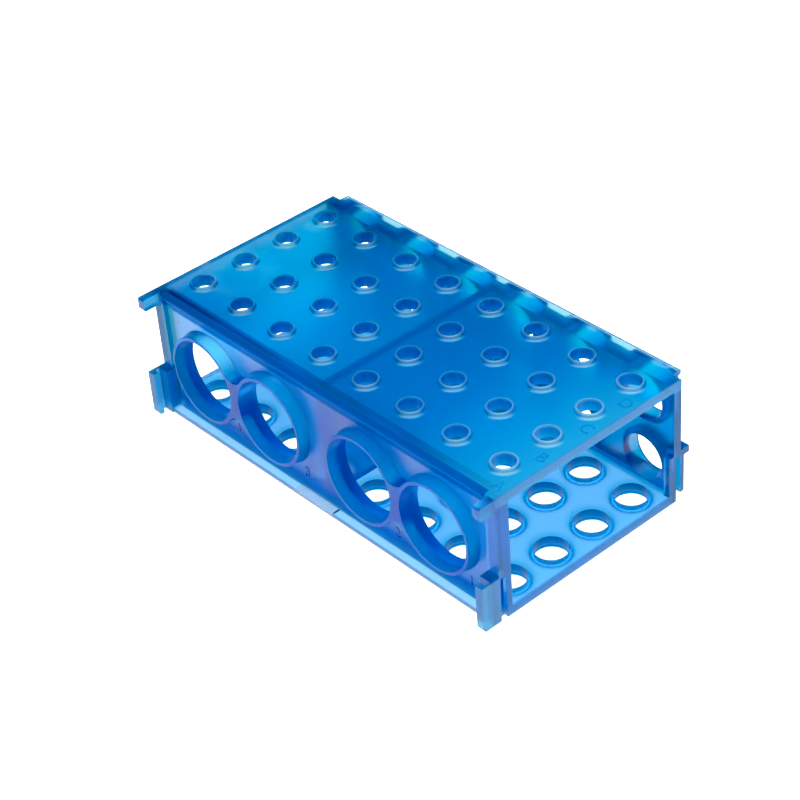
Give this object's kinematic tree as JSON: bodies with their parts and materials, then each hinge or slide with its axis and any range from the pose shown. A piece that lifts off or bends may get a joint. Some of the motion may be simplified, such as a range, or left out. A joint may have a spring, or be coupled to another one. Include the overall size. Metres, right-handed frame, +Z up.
{
  "type": "microcentrifuge tube rack",
  "caption": "Translucent blue tube rack: an open-ended box whose sides hold different sizes of laboratory tube in collared holes, with clips that join it to another rack.",
  "frame": {"origin": "middle of the footprint, on the plane of the collar rims that the rack lies on", "axes": "+X along the length, +Y towards the side with the medium holes (so the large holes face -Y), +Z up, towards the plate with the smallest holes"},
  "size_m": [0.172, 0.0958, 0.0518],
  "materials": {
    "rack": "translucent moulded polypropylene, smooth"
  },
  "bodies": {
    "root": {"rack": "rack"}
  },
  "joints": []
}
